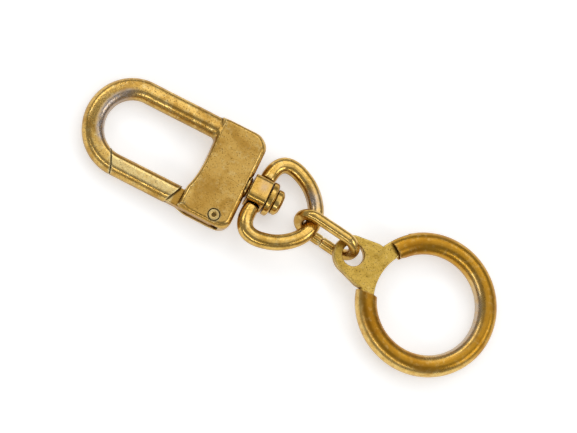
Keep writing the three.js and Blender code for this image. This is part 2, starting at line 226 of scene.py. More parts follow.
def waves(x, y, z, amount, length, seed):
    """The slight unevenness that casting, polishing and handling leave."""
    draw = np.random.default_rng(seed)
    total = 0
    for _ in range(5):
        direction = draw.normal(size=3)
        direction *= 2 * math.pi / (length * draw.uniform(0.7, 1.5) * np.linalg.norm(direction))
        phase = draw.uniform(0, 6.3)
        total = total + np.sin(direction[0] * x + direction[1] * y + direction[2] * z + phase)
    return amount * total / 2.5


# ---- Meshes ----


def new_piece(name, points, faces, place, body, replaced):
    """A smooth-shaded mesh from millimetre points in a body's frame, instead of a CAD node.

    It rides on the body, if one is given."""
    turn = np.array(place)
    placed = np.asarray(points) * MM @ turn[:3, :3].T + turn[:3, 3]
    mesh = bpy.data.meshes.new(name)
    mesh.from_pydata(placed.tolist(), [], [list(map(int, face)) for face in faces])
    mesh.polygons.foreach_set("use_smooth", [True] * len(mesh.polygons))
    mesh.update()
    piece = bpy.data.objects.new(name, mesh)
    bpy.context.scene.collection.objects.link(piece)
    if body:
        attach(piece, body)
    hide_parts(replaced)
    return piece


def surface(field, low, high, step):
    """Quads on the surface where a field is zero, with the vertices then moved onto it."""
    axes = [np.arange(a - 1.5 * step, b + 2.5 * step, step) for a, b in zip(low, high)]
    value = field(*np.meshgrid(*axes, indexing="ij", sparse=True))
    value = np.broadcast_to(value, [len(a) for a in axes])
    value = np.where(value == 0, 1e-9, value)
    cells = np.array(value.shape) - 1
    total, count = np.zeros((*cells, 3)), np.zeros(cells, np.int8)
    crossings = []
    for axis in range(3):
        near = [slice(None)] * 3
        far = [slice(None)] * 3
        near[axis], far[axis] = slice(0, -1), slice(1, None)
        a, b = value[tuple(near)], value[tuple(far)]
        crossing = (a < 0) != (b < 0)
        share = np.where(crossing, a / np.where(crossing, a - b, 1), 0)
        crossings.append((crossing, a < 0))
        side, up = [k for k in range(3) if k != axis]
        for i in (0, 1):
            for j in (0, 1):
                part = [slice(None)] * 3
                part[side] = slice(i, i + cells[side])
                part[up] = slice(j, j + cells[up])
                hit = crossing[tuple(part)]
                count += hit
                total[..., axis] += share[tuple(part)] * hit
                total[..., side] += i * hit
                total[..., up] += j * hit
    active = count > 0
    number = np.full(cells, -1)
    number[active] = np.arange(active.sum())
    at = np.argwhere(active) + total[active] / count[active][:, None]
    points = at * step + np.array([a[0] for a in axes])
    faces = []
    for axis, (crossing, inside) in enumerate(crossings):
        side, up = (axis + 1) % 3, (axis + 2) % 3
        index = np.argwhere(crossing)
        index = index[(index[:, side] > 0) & (index[:, up] > 0)]
        index = index[(index[:, side] < cells[side]) & (index[:, up] < cells[up])]
        outward = inside[tuple(index.T)]
        quad = []
        for i, j in ((1, 1), (0, 1), (0, 0), (1, 0)):
            cell = index.copy()
            cell[:, side] -= i
            cell[:, up] -= j
            quad.append(number[tuple(cell.T)])
        quad = np.stack(quad, 1)
        quad[~outward] = quad[~outward][:, ::-1]
        faces.append(quad)
    small = 0.01
    for _ in range(3):
        here = field(*points.T)
        slope = np.stack([
            (field(*(points + shift).T) - field(*(points - shift).T)) / (2 * small)
            for shift in small * np.eye(3)
        ], 1)
        steepness = np.maximum((slope**2).sum(1), 0.25)
        move = (here / steepness)[:, None] * slope
        reach = np.maximum(np.linalg.norm(move, axis=1) / (0.35 * step), 1)
        points = points - move / reach[:, None]
    return points, np.concatenate(faces)


def rows_of_quads(n, m):
    """Faces between n rings of m points."""
    quads = []
    for i in range(n - 1):
        for j in range(m):
            a, b = i * m + j, i * m + (j + 1) % m
            quads.append([a, b, b + m, a + m])
    return quads


def capped_rows(n, m):
    """Faces between n rings of m points, and one across each end."""
    return [*rows_of_quads(n, m), list(range(m))[::-1], list(range((n - 1) * m, n * m))]


def round_section(radius, power, steps):
    """Points round a wire's section: power 2 is a circle, and more squares it off."""
    angle = np.arange(steps) * 2 * math.pi / steps
    return np.stack(
        [radius * np.sign(v) * abs(v) ** (2 / power) for v in (np.cos(angle), np.sin(angle))], 1
    )


def swept(path, section, scale):
    """A flat path (N, 2) swept by a section (M, 2) of (sideways, up), scaled at each point."""
    path = np.asarray(path, float)
    direction = np.gradient(path, axis=0)
    direction /= np.linalg.norm(direction, axis=1)[:, None]
    side = np.stack([direction[:, 1], -direction[:, 0]], 1)
    sideways = scale[:, None] * section[:, 0]
    up = scale[:, None] * section[:, 1]
    points = np.concatenate([path[:, None] + sideways[..., None] * side[:, None], up[..., None]], 2)
    faces = capped_rows(len(path), len(section))
    return points.reshape(-1, 3), [face[::-1] for face in faces]


def rounded_profile(profile, radius):
    """A profile of [along, distance] points with its corners rounded."""
    made = [profile[0]]
    for before, corner, after in zip(profile, profile[1:], profile[2:]):
        before, corner, after = (np.array(p, float) for p in (before, corner, after))
        into, out = before - corner, after - corner
        cut = min(radius, 0.45 * np.linalg.norm(into), 0.45 * np.linalg.norm(out))
        start = corner + into / np.linalg.norm(into) * cut
        end = corner + out / np.linalg.norm(out) * cut
        made += [tuple(start)] + bend(start, corner, end, 4)
    return made + [profile[-1]]


def lathed(profile, closed, steps=96):
    """A profile of [along x, radius] points turned about the x axis."""
    along, radius = np.array(profile, float).T
    angle = np.arange(steps) * 2 * math.pi / steps
    across, up = np.outer(radius, np.cos(angle)), np.outer(radius, np.sin(angle))
    points = np.stack([np.broadcast_to(along[:, None], across.shape), across, up], 2).reshape(-1, 3)
    if not closed:
        return points, capped_rows(len(along), steps)
    faces = rows_of_quads(len(along), steps)
    last = (len(along) - 1) * steps
    faces += [[last + j, last + (j + 1) % steps, (j + 1) % steps, j] for j in range(steps)]
    return points, faces


def coil(points, radius):
    """A round wire along points in space."""
    sides = 10
    direction = np.gradient(points, axis=0)
    direction /= np.linalg.norm(direction, axis=1)[:, None]
    side = np.zeros_like(points)
    last = np.cross(direction[0], (0, 0, 1.0))
    for i, d in enumerate(direction):
        last = last - d * (last @ d)
        last /= np.linalg.norm(last)
        side[i] = last
    up = np.cross(direction, side)
    angle = np.arange(sides) * 2 * math.pi / sides
    made = points[:, None] + radius * (
        np.cos(angle)[:, None] * side[:, None] + np.sin(angle)[:, None] * up[:, None]
    )
    return made.reshape(-1, 3), capped_rows(len(points), sides)


def spaced(points, step):
    """The same path with evenly spaced points."""
    points = np.asarray(points, float)
    along = np.concatenate([[0], np.cumsum(np.linalg.norm(np.diff(points, axis=0), axis=1))])
    at = np.linspace(0, along[-1], max(2, round(along[-1] / step) + 1))
    return np.stack([np.interp(at, along, points[:, k]) for k in range(points.shape[1])], 1)


def softened(points, passes):
    """The path with its changes of curvature spread out. The ends stay."""
    points = points.copy()
    for _ in range(passes):
        points[1:-1] = 0.25 * points[:-2] + 0.5 * points[1:-1] + 0.25 * points[2:]
    return points


def through(points):
    """A centripetal curve through the points."""
    steps = 12
    points = np.asarray(points, float)
    points = np.concatenate([[2 * points[0] - points[1]], points, [2 * points[-1] - points[-2]]])
    made = []
    for a, b, c, d in zip(points, points[1:], points[2:], points[3:]):
        u, v, w = (max(np.linalg.norm(q - p), 1e-6) ** 0.5 for p, q in ((a, b), (b, c), (c, d)))
        start = ((b - a) / u - (c - a) / (u + v) + (c - b) / v) * v
        end = ((c - b) / v - (d - b) / (v + w) + (d - c) / w) * v
        for t in np.linspace(0, 1, steps, endpoint=False):
            h = (2 * t**3 - 3 * t**2 + 1, t**3 - 2 * t**2 + t, -2 * t**3 + 3 * t**2, t**3 - t**2)
            made.append(h[0] * b + h[1] * start + h[2] * c + h[3] * end)
    return np.array(made + [points[-2]])


# ---- Hook ----


def bow_offset(x, y):
    """Signed distance outward from the hook's centre line: two straights and half an ellipse."""
    left = np.minimum(x - BOW_CENTRE, 0)
    share = np.maximum(np.hypot(left / BOW_REACH, y / BOW_HALF_WIDTH), 1e-6)
    slope = np.maximum(np.hypot(left / BOW_REACH**2, y / BOW_HALF_WIDTH**2) / share, 1e-6)
    return (share - 1) / slope


def bar_section(offset, z, lean):
    """Round bar with a flat above and below. The flats lean outward by an angle."""
    shape = np.hypot(offset, z) - BAR_RADIUS
    for way in (1, -1):
        flat = way * z * np.cos(lean) + offset * np.sin(lean) - BAR_HEIGHT / 2
        shape = overlap(shape, flat, BAR_EDGE)
    return shape


def slanted(along, y, slant):
    """Distance past a slanted cut through the bar on the gate's side."""
    return along * math.cos(slant) + (y + BOW_HALF_WIDTH) * math.sin(slant)


def block_points():
    left, right, top, bottom = (BLOCK[k] for k in ("left", "right", "top", "bottom"))
    top_corner, bottom_corner = BLOCK_CORNERS["top"], BLOCK_CORNERS["bottom"]
    heel = (left - 1.2, bottom + 0.5)
    waist_low, waist = (left - 1.2, -6.8), (left + 0.15, 2.5)
    start = (left - 0.4, top)
    return [
        start,
        *arc(right - top_corner, top - top_corner, top_corner, math.pi / 2, 0, 12),
        *arc(right - bottom_corner, bottom + bottom_corner, bottom_corner, 0, -math.pi / 2, 12),
        (left + 1.7, bottom),
        *bend((left + 1.7, bottom), (left, bottom), heel, 6),
        *bend(waist_low, (left + 0.3, -3), waist, 10),
        *bend(waist, (left + 0.1, 6), start, 10)[:-1],
    ]


BLOCK_POINTS = block_points()


def hook_field(x, y, z):
    half = BLOCK["height"] / 2
    bar = bar_section(bow_offset(x, y), z, BAR_LEAN * ease(y, -8, -1))
    seam = slanted(x - SEAM["x"], y, SEAM["slant"])
    bar = overlap(bar, np.where(y < 0, seam, x - BLOCK["left"] - 1.5), 0.12)
    # The block is rounder towards the swivel, towards its two ends and along its waist.
    edge = 0.55 + 1.05 * ease(x, 34.5, 37.6) + 0.35 * ease(abs(y), 8.5, 11)
    edge = edge + 0.45 * ease(-x, -29, -27.3)
    block = overlap(outline(x, y, BLOCK_POINTS), abs(z) - half, edge)
    body = blend(bar, block, 0.35 + 0.55 * ease(-y, -9.4, -6.6))

    slot = overlap(outline(x, y, SLOT_POINTS), abs(z) - SLOT_HEIGHT / 2, CUT_EDGE)
    from_pin = np.hypot(x - GATE_PIN[0], y - GATE_PIN[1])
    sink = overlap(from_pin - PIN_SINK["radius"], half - PIN_SINK["depth"] - abs(z), CUT_EDGE)
    from_coil = np.hypot(x - POCKET["x"], z)
    pocket_ends = np.maximum(y - POCKET["top"], POCKET["bottom"] - y)
    pocket = overlap(from_coil - POCKET["radius"], pocket_ends, 0.1)
    from_axis = np.hypot(y, z)
    stud_hole = overlap(from_axis - STUD_BORE, STUD_HOLE_FROM - x, CUT_EDGE)
    seat = overlap(from_axis - SPACER_SEAT["radius"], SPACER_SEAT["x"] - x, CUT_EDGE)
    from_mark = np.hypot(y - DRILL_MARK["y"], z - DRILL_MARK["z"])
    mark = overlap(from_mark - DRILL_MARK["radius"], DRILL_MARK["x"] - x, CUT_EDGE)
    body = carve(body, slot, 0.16)
    for tool in (np.minimum(from_pin - PIN_HOLE, sink), pocket, np.minimum(stud_hole, seat), mark):
        body = carve(body, tool, 0.1)
    return body + waves(x, y, z, amount=0.016, length=7.0, seed=3)


def gate_field(x, y, z):
    bar = bar_section(bow_offset(x, y), z, 0 * x)
    bar = overlap(bar, y + 4, 0.1)
    bar = overlap(bar, -slanted(x - SEAM["x"] - SEAM["gap"], y, SEAM["slant"]), 0.12)
    bar = overlap(bar, slanted(x - SHOULDER["x"], y, SHOULDER["slant"]), 0.14)
    tongue_points = [
        (20, TONGUE["top"]),
        (33, TONGUE["top"]),
        *arc(*GATE_PIN, TONGUE["tail"], rad(75), -math.pi / 2, 14),
        (20, TONGUE["bottom"]),
    ]
    tongue = overlap(outline(x, y, tongue_points), abs(z) - TONGUE["height"] / 2, 0.18)
    body = blend(bar, tongue, 0.12)
    body = carve(body, np.hypot(x - GATE_PIN[0], y - GATE_PIN[1]) - PIN_HOLE, 0.08)
    return body + waves(x, y, z, amount=0.014, length=6.0, seed=8)


def collar_field(x, y, z):
    """In the swivel's frame, whose origin is on the loop's pivot."""
    side = COLLAR["side"] / 2
    middle = (COLLAR["from_x"] + COLLAR["to_x"]) / 2 - LOOP_PIVOT_X
    half = (COLLAR["to_x"] - COLLAR["from_x"]) / 2
    across = overlap(abs(y) - side, abs(z) - side, COLLAR["corner"])
    body = overlap(across, abs(x - middle) - half, 0.3)
    body = carve(body, np.hypot(y, z) - STUD_BORE, 0.15)
    along_hole = x * math.cos(LOOP_SKEW) + y * math.sin(LOOP_SKEW)
    body = carve(body, np.hypot(along_hole, z) - SPIGOT["radius"] - 0.3, 0.2)
    return body + waves(x, y, z, amount=0.02, length=4.0, seed=12)


hook_mesh = surface(hook_field, (0, -11.5, -2.7), (38.45, 11.2, 2.7), step=0.16)
gate_mesh = surface(gate_field, (6, -11.2, -2.3), (36, -5.5, 2.3), step=0.14)
collar_mesh = surface(collar_field, (-2.4, -3.2, -3.2), (1.9, 3.2, 3.2), step=0.11)
hook_casting = new_piece("hook_casting", *hook_mesh, HOOK, "hook", "hook_body")
gate_arm = new_piece("gate_arm", *gate_mesh, HOOK, "gate", "gate")
collar = new_piece("swivel_block", *collar_mesh, SWIVEL, "swivel", "swivel_collar")


def rivet():
    """The gate's rivet: a flush head with a dimple at each end."""
    half = BLOCK["height"] / 2
    dimple = [(0, half - 0.2), (0.35, half - 0.17), (0.6, half)]
    head = [(1.2, half), (1.2, half - 0.32), (0.85, half - 0.32)]
    profile = [(height, radius) for radius, height in dimple + head]
    profile += [(-height, radius) for height, radius in reversed(profile)]
    rounded = rounded_profile(profile, 0.12)
    rounded[0] = (rounded[0][0], 0.01)
    rounded[-1] = (rounded[-1][0], 0.01)
    return lathed(rounded[::-1], False, 72)


rivet_centre = Matrix.Translation((GATE_PIN[0] * MM, GATE_PIN[1] * MM, 0))
rivet_place = HOOK @ rivet_centre @ turned("Y", -math.pi / 2)
gate_rivet = new_piece("gate_rivet", *rivet(), rivet_place, "hook", "gate_pin")


def swivel_turning(name, node, profile, closed):
    """A turned piece of the swivel. Its profile is given the CAD piece's two ends and radius."""
    low, high = local_box(node, HOOK)
    points = rounded_profile(profile(low[0], high[0], high[1]), 0.22)
    return new_piece(name, *lathed(points, closed), HOOK, "hook", node)


spacer = swivel_turning(
    "swivel_boss", "swivel_spacer",
    lambda start, end, r: [
        (start + 0.2, STUD_BORE), (start, STUD_BORE), (start, r), (end - 0.45, r), (end, r - 0.5),
        (end, STUD_BORE), (end - 0.2, STUD_BORE),
    ],
    closed=True,
)
washer = swivel_turning(
    "swivel_collar_washer", "swivel_washer",
    lambda start, end, r: [
        (start + 0.3, STUD_BORE), (start, STUD_BORE), (start, r), (end - 0.45, r),
        (end - 0.1, r - 0.45), (end, r - 0.9), (end, STUD_BORE), (end - 0.3, STUD_BORE),
    ],
    closed=True,
)
stud_head_from = local_box("swivel_washer", HOOK)[1][0] + 0.1
stud = swivel_turning(
    "swivel_stud_riveted", "swivel_stud",
    lambda start, end, r: [
        (start, 0.01), (start, 1.5), (stud_head_from, 1.5), (stud_head_from, r), (end - 0.7, r),
        (end - 0.12, r - 0.75), (end, r - 1.7), (end, 0.01),
    ],
    closed=False,
)

# ---- Loop and link ----


def wire_end_scale(path, radius):
    """Sizes of a wire's sections that round off its two cut ends."""
    along = np.concatenate([[0], np.cumsum(np.linalg.norm(np.diff(path, axis=0), axis=1))])
    from_end = np.minimum(along, along[-1] - along)
    inset = np.clip(1 - from_end / radius, 0, 1)
    return 1 - 0.12 * inset**2


def d_loop():
    step = 0.2
    lower = [(x, -y) for x, y in reversed(LOOP_HALF)]
    bent = softened(spaced(through([*LOOP_HALF, (LOOP_REACH, 0), *lower]), step), 14)
    start, shoulder = SPIGOT["start"], LOOP_HALF[0][1]
    spigot_y = [start, start + 0.15, shoulder - 0.02, shoulder - 0.01]
    spigot, far_spigot = [(0, y) for y in spigot_y], [(0, -y) for y in reversed(spigot_y)]
    wire = LOOP_WIRE / 2
    thin = SPIGOT["radius"] / wire
    ends = np.array([thin * 0.88, thin, thin, 0.9])
    from_shoulder = np.minimum(np.arange(len(bent)), np.arange(len(bent))[::-1]) * step
    scale = np.concatenate([ends, 1 - 0.07 * np.exp(-from_shoulder / 0.15), ends[::-1]])
    return swept(np.concatenate([spigot, bent, far_spigot]), round_section(wire, 2.12, 48), scale)


def link():
    middle = LINK_STRAIGHT / 2
    half_seam = LINK_SEAM / 2
    path = [
        (middle + half_seam, -LINK_RADIUS),
        *arc(LINK_STRAIGHT, 0, LINK_RADIUS, -math.pi / 2, math.pi / 2, 40),
        *arc(0, 0, LINK_RADIUS, math.pi / 2, 1.5 * math.pi, 40),
        (middle - half_seam, -LINK_RADIUS),
    ]
    path = softened(spaced(path, 0.14), 12)
    return swept(path, round_section(LINK_WIRE / 2, 2.25, 40), wire_end_scale(path, 0.35))


d_ring = new_piece("d_loop_wire", *d_loop(), LOOP, "loop", "d_loop")
oval_link = new_piece("oval_link", *link(), LINK, "link", "connector_link")

# ---- Plate and ring ----


def plate_points():
    inner, outer = RING_RADIUS - ARM_HALF_WIDTH, RING_RADIUS + ARM_HALF_WIDTH
    return [
        *arc(0, 0, EYE_RADIUS, rad(97), rad(263), 36),
        (3.7, -5.2),
        *arc(EYE_TO_RING, 0, outer, rad(200.5), SHORT_ARM_END, 5),
        *arc(EYE_TO_RING, 0, inner, SHORT_ARM_END, LONG_ARM_END, 60),
        *arc(EYE_TO_RING, 0, outer, LONG_ARM_END, NECK["start"], 44),
        *arc(EYE_TO_RING, 0, RING_RADIUS + NECK["reach"], NECK["start"], NECK["end"], 8),
        (3.6, 5.35),
    ]


PLATE_POINTS = plate_points()


def plate_field(x, y, z):
    shape = carve(outline(x, y, PLATE_POINTS), np.hypot(x, y) - EYE_HOLE_RADIUS, 0.01)
    body = overlap(shape, abs(z) - PLATE_HEIGHT / 2, 0.3)
    return body + waves(x, y, z, amount=0.012, length=4.0, seed=21)


plate_mesh = surface(plate_field, (-4.4, -7.2, -0.9), (24, 15, 0.9), step=0.14)
fob_plate = new_piece("key_plate", *plate_mesh, FOB, "fob", "fob_plate")

ROUND_POINTS, SLIT_POINTS = 45, 8


def round_the_tube(radius):
    """Angles round the tube's section: those that leave out the slit, then those across it."""
    edge = math.asin(SLIT_HEIGHT / 2 / radius)
    across = np.linspace(2 * math.pi - edge, 2 * math.pi + edge, SLIT_POINTS + 2)[1:-1]
    return np.concatenate([np.linspace(edge, 2 * math.pi - edge, ROUND_POINTS), across])


def ring_tube():
    """A slit tube bent round the ring.

    Its outer and inner walls are joined at the two ends and along the slit."""
    start, end = TUBE_END["short"] - 2 * math.pi, TUBE_END["long"]
    lip = 0.09
    lip_angle = lip / RING_RADIUS
    lip_part = 0.4 * lip / RING_RADIUS
    along = np.unique(np.concatenate([
        spaced([(start,), (end,)], rad(1.2))[:, 0], [SLIT_FROM],
        [start + lip_angle, end - lip_angle, start + lip_part, end - lip_part],
    ]))
    from_end = np.minimum(along - start, end - along) * RING_RADIUS
    worn = lip * (1 - np.sqrt(np.clip(1 - (1 - np.clip(from_end / lip, 0, 1)) ** 2, 0, 1)))
    slant = (1 - ease(along, start, start + rad(14)))[:, None]
    filing = 0.42 * ease(along, end - rad(7.5), end - rad(2.5))[:, None]
    walls = []
    for radius, way in ((TUBE_RADIUS, -1), (TUBE_BORE, 1)):
        size = radius + way * worn[:, None]
        around = round_the_tube(radius)
        out = size * np.cos(around)
        up = size * np.sin(around)
        if way < 0:
            out = np.maximum(out, filing * ease(-abs(up), -1.9, -0.6) - TUBE_RADIUS)
        angle = along[:, None] + np.arctan(out * math.tan(TUBE_END["slant"]) / RING_RADIUS) * slant
        reach = RING_RADIUS + out
        walls.append(np.stack([reach * np.cos(angle), reach * np.sin(angle), up], 2).reshape(-1, 3))
    n, m = len(along), ROUND_POINTS + SLIT_POINTS
    inner = n * m
    slit_row = int(np.argmin(abs(along - SLIT_FROM)))
    last_edge = ROUND_POINTS - 1
    faces = []
    for i in range(n - 1):
        for j in range(m if i < slit_row else last_edge):
            a, b = i * m + j, i * m + (j + 1) % m
            faces.append([a, b, b + m, a + m])
            faces.append([inner + a + m, inner + b + m, inner + b, inner + a])
    for j in range(m):
        k = (j + 1) % m
        faces.append([k, j, inner + j, inner + k])
        row = ((n - 1) if j < last_edge else slit_row) * m
        faces.append([row + j, row + k, inner + row + k, inner + row + j])
    for i in range(slit_row, n - 1):
        a, b = i * m, (i + 1) * m
        faces.append([a, inner + a, inner + b, b])
        a, b = a + last_edge, b + last_edge
        faces.append([b, inner + b, inner + a, a])
    return np.concatenate(walls), [face[::-1] for face in faces]


def without_loose(points, faces):
    """The same mesh without the points that no face uses."""
    used = np.unique(np.concatenate([np.array(f) for f in faces]))
    number = np.full(len(points), -1)
    number[used] = np.arange(len(used))
    return points[used], [[int(number[v]) for v in face] for face in faces]


tube = new_piece("key_ring_tube", *without_loose(*ring_tube()), RING, "ring", "ring_tube")


def stop_plug():
    path = np.array(arc(0, 0, RING_RADIUS, *STOP, 24))
    return swept(path, round_section(STOP_RADIUS, 2, 32), wire_end_scale(path, 0.4))


plug = new_piece("spring_plug", *stop_plug(), RING, "ring", "spring_stop")


def ring_coil():
    wire = RING_COIL["wire"]
    radius = TUBE_BORE - wire / 2 - COIL_CLEARANCE
    clear = (wire / 2 + COIL_CLEARANCE) / RING_RADIUS
    t = np.linspace(0, 1, 320)
    along = STOP[1] + clear + t * (LONG_ARM_END - STOP[1] - 2 * clear)
    turn = 2 * math.pi * RING_COIL["turns"] * t
    reach = RING_RADIUS + radius * np.cos(turn)
    points = np.stack([reach * np.cos(along), reach * np.sin(along), radius * np.sin(turn)], 1)
    return coil(points, wire / 2)


def gate_coil():
    wire, radius = GATE_COIL["wire"], GATE_COIL["radius"]
    start = TONGUE["top"] + wire / 2 + COIL_CLEARANCE
    end = POCKET["top"] - wire / 2 - COIL_CLEARANCE
    t = np.linspace(0, 1, 220)
    turn = 2 * math.pi * GATE_COIL["turns"] * t
    x = POCKET["x"] + radius * np.cos(turn)
    points = np.stack([x, start + t * (end - start), radius * np.sin(turn)], 1)
    return coil(points, wire / 2)


ring_spring = new_piece("ring_return_spring", *ring_coil(), RING, None, "ring_spring")
gate_spring = new_piece("gate_return_spring", *gate_coil(), HOOK, "hook", "gate_spring")

# ---- Wear and dirt, with painted shade and highlights, kept as attributes of the vertices ----

GRIME_AND_SHADE_REACH = 0.42
SHADED_SIDES = (-0.8, 0.35)  # where the painted shade starts and is full, as the normal turns down
TUBE_SHADED_SIDES = (-0.25, 0.7)


def rows(items, name, width, kind=float):
    """A property of a mesh's vertices or edges, as one row for each."""
    found = np.zeros(len(items) * width, kind)
    items.foreach_get(name, found)
    return found.reshape(-1, width)


def world_points(piece):
    return rows(piece.data.vertices, "co", 3)


def normals(piece):
    return rows(piece.data.vertices, "normal", 3)


def neighbour_mean(values, edges):
    """The mean over each vertex's neighbours."""
    flat = values.reshape(len(values), -1)
    count = np.bincount(edges.ravel(), minlength=len(values))
    a, b = edges.T
    total = np.stack([
        np.bincount(a, column[b], len(flat)) + np.bincount(b, column[a], len(flat))
        for column in flat.T
    ], 1)
    return (total / np.maximum(count, 1)[:, None]).reshape(values.shape)


def curvature(piece):
    """How sharply the surface bulges (positive) or hollows (negative), per millimetre."""
    points = world_points(piece) / MM
    edges = rows(piece.data.edges, "vertices", 2, int)
    offset = neighbour_mean(points, edges) - points
    spacing = np.linalg.norm(points[edges[:, 0]] - points[edges[:, 1]], axis=1)
    total_spacing = np.bincount(edges.ravel(), np.repeat(spacing, 2), len(points))
    count = np.bincount(edges.ravel(), minlength=len(points))
    area = neighbour_mean(total_spacing / np.maximum(count, 1), edges) ** 2
    bulge = -(offset * normals(piece)).sum(1) / np.maximum(area, 1e-6) * 4
    for _ in range(3):
        bulge = neighbour_mean(bulge, edges)
    return bulge


def nearness(piece, others, reach):
    """From 0 to 1, how near each vertex is to another piece, within a reach in millimetres."""
    found = np.full(len(piece.data.vertices), reach)
    for other in others:
        tree = BVHTree.FromPolygons(
            [v.co for v in other.data.vertices], [p.vertices for p in other.data.polygons]
        )
        for i, v in enumerate(piece.data.vertices):
            hit = tree.find_nearest(v.co, reach * MM)
            if hit[0] is not None:
                found[i] = min(found[i], hit[3] / MM)
    return 1 - found / reach


def paint(piece, name, values):
    attribute = piece.data.attributes.new(name, "FLOAT", "POINT")
    attribute.data.foreach_set("value", np.clip(values, 0, 1).astype(np.float32))


def local_points(piece, place):
    back = np.array(place.inverted())
    return (world_points(piece) @ back[:3, :3].T + back[:3, 3]) / MM


def from_tube_end(x, y):
    """Millimetres along the ring from its nearer cut end. The short end is cut aslant."""
    out = np.hypot(x, y) - RING_RADIUS
    short_end = np.arctan(out * math.tan(TUBE_END["slant"]) / RING_RADIUS)
    margin = rad(20)
    angle = np.mod(np.arctan2(y, x) - TUBE_END["short"] + margin, 2 * math.pi) - margin
    to_long = 2 * math.pi + TUBE_END["long"] - TUBE_END["short"] - angle
    return RING_RADIUS * np.minimum(abs(angle - short_end), abs(to_long))


neighbours = {
    hook_casting: [gate_arm, gate_rivet, spacer],
    gate_arm: [hook_casting],
    gate_rivet: [hook_casting],
    spacer: [hook_casting, collar],
    collar: [spacer, washer, d_ring],
    washer: [collar, stud],
    stud: [washer],
    d_ring: [collar],
    oval_link: [d_ring, fob_plate],
    fob_plate: [oval_link],
    tube: [],
}
tx, ty = local_points(tube, RING).T[:2]
tube_out = np.hypot(tx, ty) - RING_RADIUS

for piece, others in neighbours.items():
    bulge = curvature(piece)
    facing = normals(piece)[:, 2]
    worn = ease(bulge, 0.75, 3.0)
    hollow = ease(-bulge, 0.3, 1.6)
    # Dirt, and painted shade in hollows and near other pieces.
    grime_and_shade = np.maximum(nearness(piece, others, GRIME_AND_SHADE_REACH) ** 1.5, 0.8 * hollow)
    shaded = SHADED_SIDES
    if piece is gate_arm:
        # Painted highlight: the gate's upward flat made paler.
        worn = np.maximum(worn, 0.7 * ease(facing, 0.9, 0.97))
    if piece is spacer:
        grime_and_shade = grime_and_shade * 0.35
    if piece is tube:
        # Painted highlights on the ring: a pale band on the inner side of its right part, and one on
        # the outer side of its lower part.
        painted_highlight = 0.9 * ease(-tube_out, 0.2, 1.5) * ease(tx, 1, 8)
        painted_highlight = painted_highlight + 0.9 * ease(tube_out, 0.9, 1.9) * ease(-ty, 2, 8)
        worn = np.maximum(painted_highlight, np.exp(-from_tube_end(tx, ty) / 0.14))
        shaded = TUBE_SHADED_SIDES
    paint(piece, "wear_and_highlight", worn)
    paint(piece, "grime_and_shade", grime_and_shade)
    # Painted shade: sides darker as their normal turns down.
    paint(piece, "underside_shade", ease(-facing, *shaded))

# Grey where the plating is gone, and on the ring a painted reflection; brown where the metal has
# dulled with age, and on the ring's top, the gate's tongue and the collar's lower sides painted
# shade.
hx, hy = local_points(hook_casting, HOOK).T[:2]
bow_inside = ease(-bow_offset(hx, hy), -0.1, 0.9) * ease(-hx, -9.5, -5)
paint(hook_casting, "plating_gone_and_reflection", bow_inside * ease(hy, -7.5, -4.5) * ease(-hy, -9.5, -7))
# The block is browner, and darker towards its gate side and its bow end.
lower_block = ease(-hy, -2, 5) * ease(-hx, -36, -31)
paint(hook_casting, "tarnish_and_shade", ease(hx, 27, 29) * (0.35 + 0.35 * lower_block))

# Painted shade: the gate's tongue past the shoulder, in the recess by the block.
gx, _, gz = local_points(gate_arm, HOOK).T
past_shoulder = ease(gx, SHOULDER["x"] - 0.1, SHOULDER["x"] + 0.4)
paint(gate_arm, "tarnish_and_shade", past_shoulder * ease(-abs(gz), -1.4, -1.15))

dx, dy, dz = local_points(d_ring, LOOP).T
from_rub = (dx - 10.4) ** 2 + (dy - 4.6) ** 2 + (dz - 0.8) ** 2
paint(d_ring, "plating_gone_and_reflection", np.exp(-from_rub / 5.0))

# Painted reflection: a grey band along the inner side of the ring's right part.
paint(tube, "plating_gone_and_reflection", 0.8 * ease(-tube_out, 1.0, 2.1) * ease(tx, 4, 10))
# Painted shade: a darker band along the ring's top, where it faces up.
paint(tube, "tarnish_and_shade", 0.3 * ease(normals(tube)[:, 2], 0.72, 0.97))

cx, cy, cz = local_points(collar, SWIVEL).T
# Browned, and painted shade on the collar's sides as they turn down.
paint(collar, "tarnish_and_shade", 0.5 + 0.3 * ease(-normals(collar)[:, 2], -0.8, -0.3))
from_middle = (cx - 0.2) ** 2 / 1.2 + (cy - 0.6) ** 2 / 2.5
paint(collar, "plating_gone_and_reflection", 0.8 * np.exp(-from_middle) * ease(cz, 2.6, 3.1))

# ---- Materials ----


